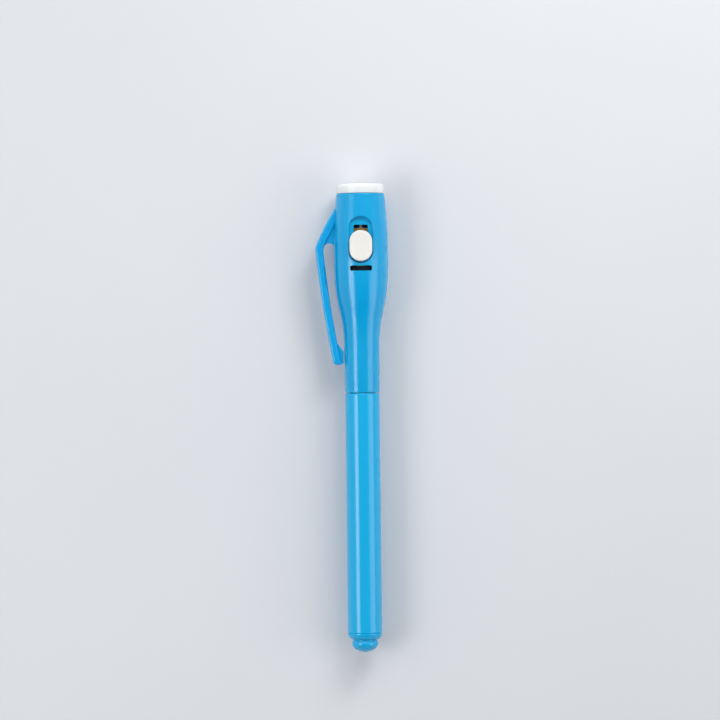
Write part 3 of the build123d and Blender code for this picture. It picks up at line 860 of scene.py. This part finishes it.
    def leaf_strip(self, low: Vector, high: Vector) -> bmesh.types.BMesh:
        """Draw the leaf's side line out to a strip without thickness.

        Args:
            low: Low corner of the solid leaf's box.
            high: High corner of that box.

        Returns:
            The underside of the leaf, flat at its root and tip with a slope between.
        """
        width = self.leaf_width_mm * MM
        level = high[2] - self.leaf_thickness_mm * MM
        shape = bmesh.new()
        side = [shape.verts.new((-width / 2.0, place, height)) for place, height in (
            (low[1], low[2]),
            (low[1] + self.leaf_root_mm * MM, low[2]),
            (high[1] - self.leaf_level_mm * MM, level),
            (high[1], level),
        )]
        edges = [shape.edges.new(pair) for pair in zip(side, side[1:])]
        strip = bmesh.ops.extrude_edge_only(shape, edges=edges)
        far_side = [part for part in strip["geom"] if isinstance(part, bmesh.types.BMVert)]
        bmesh.ops.translate(shape, verts=far_side, vec=(width, 0.0, 0.0))
        return shape

    def widen_tip(self, shape: bmesh.types.BMesh, start: float, reach: float) -> None:
        """Draw the sides of the leaf's tip out to its full width.

        Args:
            shape: The flat, bent strip.
            start: Place along the pen where the wide tip starts, in metres.
            reach: Half of its full width, in metres.
        """
        bmesh.ops.bisect_plane(shape, geom=shape.verts[:] + shape.edges[:] + shape.faces[:],
                               plane_co=(0.0, start, 0.0), plane_no=(0.0, 1.0, 0.0))
        middle = start + self.leaf_tip_mm * MM / 2.0
        half = self.leaf_width_mm * MM / 2.0
        for hand in (-1.0, 1.0):
            place = Vector((hand * half, middle))
            side = [edge for edge in shape.edges
                    if ((edge.verts[0].co + edge.verts[1].co).xy / 2.0 - place).length < SAME_PLACE]
            drawn = bmesh.ops.extrude_edge_only(shape, edges=side)
            ends = [part for part in drawn["geom"] if isinstance(part, bmesh.types.BMVert)]
            bmesh.ops.translate(shape, verts=ends, vec=(hand * (reach - half), 0.0, 0.0))

    def round_tip(self, shape: bmesh.types.BMesh, end: float) -> None:
        """Round the two corners of the leaf's tip.

        Args:
            shape: The strip with its wide tip.
            end: Place of the tip's end along the pen, in metres.
        """
        strip_side = self.leaf_width_mm * MM / 2.0
        corners = [vert for vert in shape.verts
                   if vert.co.y > end - SAME_PLACE and abs(vert.co.x) > strip_side + SAME_PLACE]
        bmesh.ops.bevel(shape, geom=corners, offset=self.leaf_corner_mm * MM, offset_type="OFFSET",
                        segments=self.leaf_corner_steps, profile=0.5, affect="VERTICES", material=-1)
        bmesh.ops.recalc_face_normals(shape, faces=shape.faces[:])

    def ease_bends(self, shape: bmesh.types.BMesh) -> None:
        """Give the leaf's bends a radius, as a press does."""
        least = math.radians(self.leaf_bend_least)
        bends = [edge for edge in shape.edges if edge.is_manifold and edge.calc_face_angle() > least]
        bmesh.ops.bevel(shape, geom=bends, offset=self.leaf_bend_mm * MM, offset_type="OFFSET",
                        segments=self.leaf_bend_steps, profile=0.5, affect="EDGES", material=-1)
        bmesh.ops.recalc_face_normals(shape, faces=shape.faces[:])

    def dress(self) -> None:
        """Give the lamp unit's pieces their finishes."""
        dress("lens", LENS_MILKY)
        # The cradle's black is partly painted shade inside the slot and window
        dress("battery_cradle", CRADLE_BLACK_PAINTED_SHADE)
        dress("uv_led", LAMP_RESIN)
        dress("led_chip", LAMP_DIE)
        for lead in ("led_anode_lead", "led_cathode_lead"):
            dress(lead, LEAD_TIN)
        for cell in ("cell_front", "cell_middle", "cell_rear"):
            dress(cell, CELL_NICKEL)
        for contact in ("rear_contact", "switch_leaf"):
            dress(contact, SPRING_BRASS)


@dataclass
class SoftBox:
    """A studio softbox that points at the pen's axis.

    Attributes:
        name: The lamp's name.
        lean_degrees: Angle from straight above, to the right as the camera sees it.
        pitch_degrees: Angle towards the pen's lamp end.
        along_mm: The place along the pen that it points at.
        distance_mm: Distance from that place.
        width_mm: Width across the pen.
        length_mm: Length along the pen.
        power_watts: Its power.
    """

    name: str
    lean_degrees: float
    pitch_degrees: float
    along_mm: float
    distance_mm: float
    width_mm: float
    length_mm: float
    power_watts: float

    def build(self) -> None:
        """Hang the softbox and point it at the pen's axis."""
        lamp = bpy.data.lights.new(self.name, "AREA")
        lamp.shape = "RECTANGLE"
        lamp.size = self.width_mm * MM
        lamp.size_y = self.length_mm * MM
        lamp.energy = self.power_watts
        box = bpy.data.objects.new(self.name, lamp)
        lean = math.radians(self.lean_degrees)
        pitch = math.radians(self.pitch_degrees)
        distance = self.distance_mm * MM
        box.location = (math.cos(pitch) * math.sin(lean) * distance,
                        math.sin(pitch) * distance + self.along_mm * MM,
                        math.cos(pitch) * math.cos(lean) * distance)
        box.rotation_euler = (-pitch, lean, 0.0)
        box.visible_camera = False
        bpy.context.scene.collection.objects.link(box)


@dataclass
class Studio:
    """The floor, the lamps, the room's light and the camera straight above the pen.

    Attributes:
        floor_mm: Side of the floor.
        floor_colour: The floor's colour.
        floor_shade: The colour that its paper drifts to.
        room_colour: Colour of the room's light.
        wall_light: Strength of the pale walls' light.
        ceiling_dim: Strength of the ceiling's light on the tail's side.
        ceiling_bright: Strength of the ceiling's light on the lamp's side.
        ceiling_turn: How far from straight above the ceiling reaches either strength.
        ceiling_low: Height of the direction where the ceiling starts, from 0 level to 1 straight up.
        ceiling_high: Height of the direction where the walls have ended.
        lens_mm: Focal length.
        sensor_mm: Width of the sensor.
        camera_height_mm: Height of the camera over the pen's axis.
        aim_mm: The point that the camera looks down on, across and along the pen.
        lean_degrees: Turn of the camera, which leans the pen in the picture.
        lamps: The softboxes.
    """

    floor_mm: float = 6000.0
    floor_colour: str = "#DDDFE2"
    floor_shade: str = "#D9DBDF"
    room_colour: str = "#F4F6FA"
    wall_light: float = 0.62
    ceiling_dim: float = 0.03
    ceiling_bright: float = 0.45
    ceiling_turn: float = 0.35
    ceiling_low: float = 0.45
    ceiling_high: float = 0.75
    lens_mm: float = 200.0
    sensor_mm: float = 36.0
    camera_height_mm: float = 1166.1
    aim_mm: tuple[float, float] = (-0.61, 44.56)
    lean_degrees: float = -0.64
    lamps: tuple[SoftBox, ...] = field(default_factory=lambda: (
        # Two strips draw the long highlights, and the left one goes on faintly over the head
        SoftBox("softbox_left", lean_degrees=-44.0, pitch_degrees=0.0, along_mm=-70.0, distance_mm=650.0,
                width_mm=260.0, length_mm=330.0, power_watts=1.35),
        SoftBox("softbox_right", lean_degrees=56.0, pitch_degrees=0.0, along_mm=-70.0, distance_mm=650.0,
                width_mm=435.0, length_mm=330.0, power_watts=0.86),
        SoftBox("softbox_left_end", lean_degrees=-44.0, pitch_degrees=0.0, along_mm=215.0,
                distance_mm=650.0, width_mm=260.0, length_mm=240.0, power_watts=0.24),
        # The main light comes from the lamp's end, far off, with a nearer one that lifts the head
        SoftBox("softbox_key", lean_degrees=0.0, pitch_degrees=42.0, along_mm=45.0, distance_mm=3000.0,
                width_mm=2300.0, length_mm=1650.0, power_watts=20.0),
        SoftBox("softbox_head", lean_degrees=30.0, pitch_degrees=40.0, along_mm=100.0, distance_mm=400.0,
                width_mm=200.0, length_mm=150.0, power_watts=0.72),
    ))

    def build(self) -> None:
        """Set the whole studio up."""
        self.build_floor()
        self.build_room()
        for lamp in self.lamps:
            lamp.build()
        self.build_camera()
        bpy.context.scene.view_settings.view_transform = "Standard"

    def build_floor(self) -> None:
        """Lay the pale floor that the pen's head rests on."""
        shape = bmesh.new()
        bmesh.ops.create_grid(shape, x_segments=1, y_segments=1, size=self.floor_mm / 2.0 * MM,
                              matrix=Matrix.Translation((0.0, 0.0, CAD_BOX[0][2])))
        mesh = bpy.data.meshes.new("floor")
        shape.to_mesh(mesh)
        shape.free()
        paper = MouldedPlastic("smooth_white_paper", "", self.floor_colour, self.floor_shade,
                               cloud_mm=60.0, roughness=0.8, skin_mm=2.0, skin_depth_mm=0.01)
        mesh.materials.append(paper.material())
        floor = bpy.data.objects.new("floor", mesh)
        bpy.context.scene.collection.objects.link(floor)

    def build_room(self) -> None:
        """Light the room from pale walls under a ceiling that is dim towards the pen's tail."""
        world = bpy.data.worlds.new("studio_room")
        world.use_nodes = True
        bpy.context.scene.world = world
        tree = world.node_tree
        way = add_node(tree, "ShaderNodeTexCoord").outputs["Generated"]
        parts = add_node(tree, "ShaderNodeSeparateXYZ", inputs={"Vector": way})
        ceiling = add_node(tree, "ShaderNodeMapRange", {"interpolation_type": "SMOOTHSTEP"}, {
            "Value": parts.outputs["Y"], "From Min": -self.ceiling_turn, "From Max": self.ceiling_turn,
            "To Min": self.ceiling_dim, "To Max": self.ceiling_bright})
        level = add_node(tree, "ShaderNodeMapRange", {"interpolation_type": "SMOOTHSTEP"}, {
            "Value": parts.outputs["Z"], "From Min": self.ceiling_low, "From Max": self.ceiling_high,
            "To Min": self.wall_light, "To Max": ceiling.outputs["Result"]})
        feed(tree, tree.nodes["Background"], {
            "Color": linear(self.room_colour), "Strength": level.outputs["Result"]})

    def build_camera(self) -> None:
        """Set the camera straight above the pen, as the photograph was taken."""
        lens = bpy.data.cameras.new("camera")
        lens.lens = self.lens_mm
        lens.sensor_width = self.sensor_mm
        camera = bpy.data.objects.new("camera", lens)
        camera.location = (self.aim_mm[0] * MM, self.aim_mm[1] * MM, self.camera_height_mm * MM)
        camera.rotation_euler = (0.0, 0.0, math.radians(self.lean_degrees))
        bpy.context.scene.collection.objects.link(camera)
        bpy.context.scene.camera = camera


def main() -> None:
    """Build and dress the pen, assembly by assembly, and set up its studio."""
    logging.basicConfig(level=logging.INFO, format="%(name)s: %(message)s")
    barrel = BarrelAssembly()
    barrel.dress()
    barrel.build()
    CapAssembly().dress()
    ButtonAssembly().dress()
    lamp_unit = LampUnit()
    lamp_unit.dress()
    lamp_unit.build()
    Studio().build()


if __name__ == "__main__":
    main()
